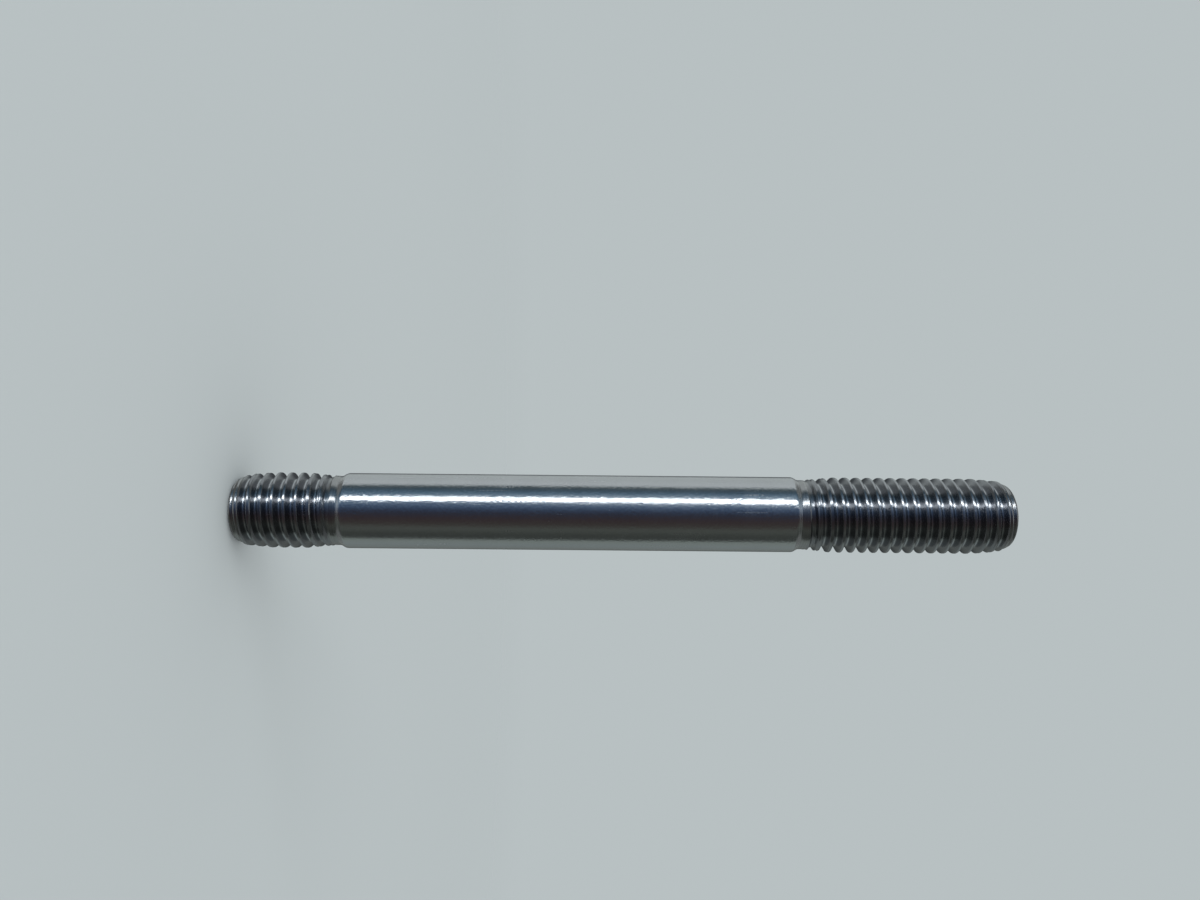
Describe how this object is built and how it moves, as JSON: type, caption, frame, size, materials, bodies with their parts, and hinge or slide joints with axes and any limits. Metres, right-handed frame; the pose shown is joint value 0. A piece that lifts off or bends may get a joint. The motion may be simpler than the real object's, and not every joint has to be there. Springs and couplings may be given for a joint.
{
  "type": "double-ended stud",
  "caption": "Double-ended stud: plain full-diameter shank with a short rolled thread for a tapped hole at one end and a long rolled thread for a nut at the other.",
  "frame": {"origin": "centre of the end face of the short thread, which screws into the tapped hole; the stud stands on it", "axes": "+Z along the stud's axis from the short thread to the long nut thread; X and Y lie in the end face, and a crest of each thread crosses the XZ plane on the +X side"},
  "size_m": [0.0098, 0.0098, 0.1],
  "materials": {
    "steel": "bare bright steel, centreless ground on the shank and rolled on the threads, uncoated"
  },
  "bodies": {
    "root": {"stud": "steel"}
  },
  "joints": []
}
